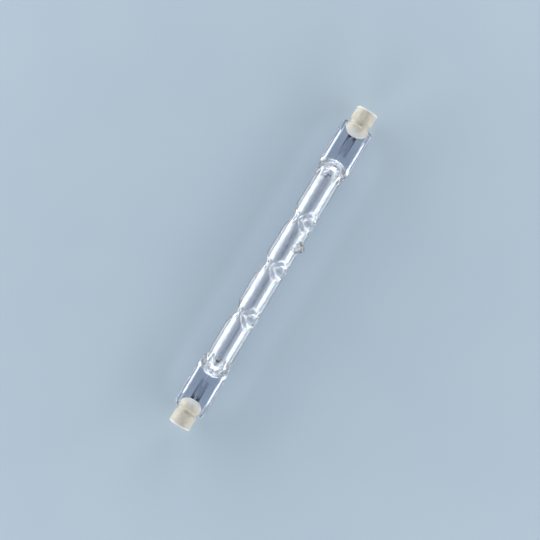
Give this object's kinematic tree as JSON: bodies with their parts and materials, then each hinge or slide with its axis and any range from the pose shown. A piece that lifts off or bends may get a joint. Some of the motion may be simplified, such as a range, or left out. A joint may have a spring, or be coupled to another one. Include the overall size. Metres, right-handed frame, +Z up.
{
  "type": "linear halogen bulb",
  "caption": "Slim clear quartz tube with a long coiled filament on its axis, pinched in to hold the coil, flat pressed ends and small round ceramic end caps with sunk contacts.",
  "frame": {"origin": "middle of the bulb's footprint, on the surface that its tube lies on, below the tube's axis", "axes": "+X along the bulb from the left cap to the right one, +Z up, with the flat presses level and the pump tip leaning to -Y"},
  "size_m": [0.1176, 0.011, 0.0095],
  "materials": {
    "quartz_glass": "clear, fire polished",
    "tungsten": "fine wound wire, dull grey",
    "cap_ceramic": "cream, fine matt",
    "cement": "pale, rough",
    "contact_metal": "plated",
    "lead_wire": "drawn wire",
    "sealing_foil": "thin dark foil"
  },
  "bodies": {
    "root": {"quartz_envelope": "quartz_glass", "filament": "tungsten", "ceramic_cap_left": "cap_ceramic", "cap_cement_left": "cement", "contact_button_left": "contact_metal", "outer_lead_left": "lead_wire", "moly_foil_left": "sealing_foil", "inner_lead_left": "lead_wire", "ceramic_cap_right": "cap_ceramic", "cap_cement_right": "cement", "contact_button_right": "contact_metal", "outer_lead_right": "lead_wire", "moly_foil_right": "sealing_foil", "inner_lead_right": "lead_wire"}
  },
  "joints": []
}
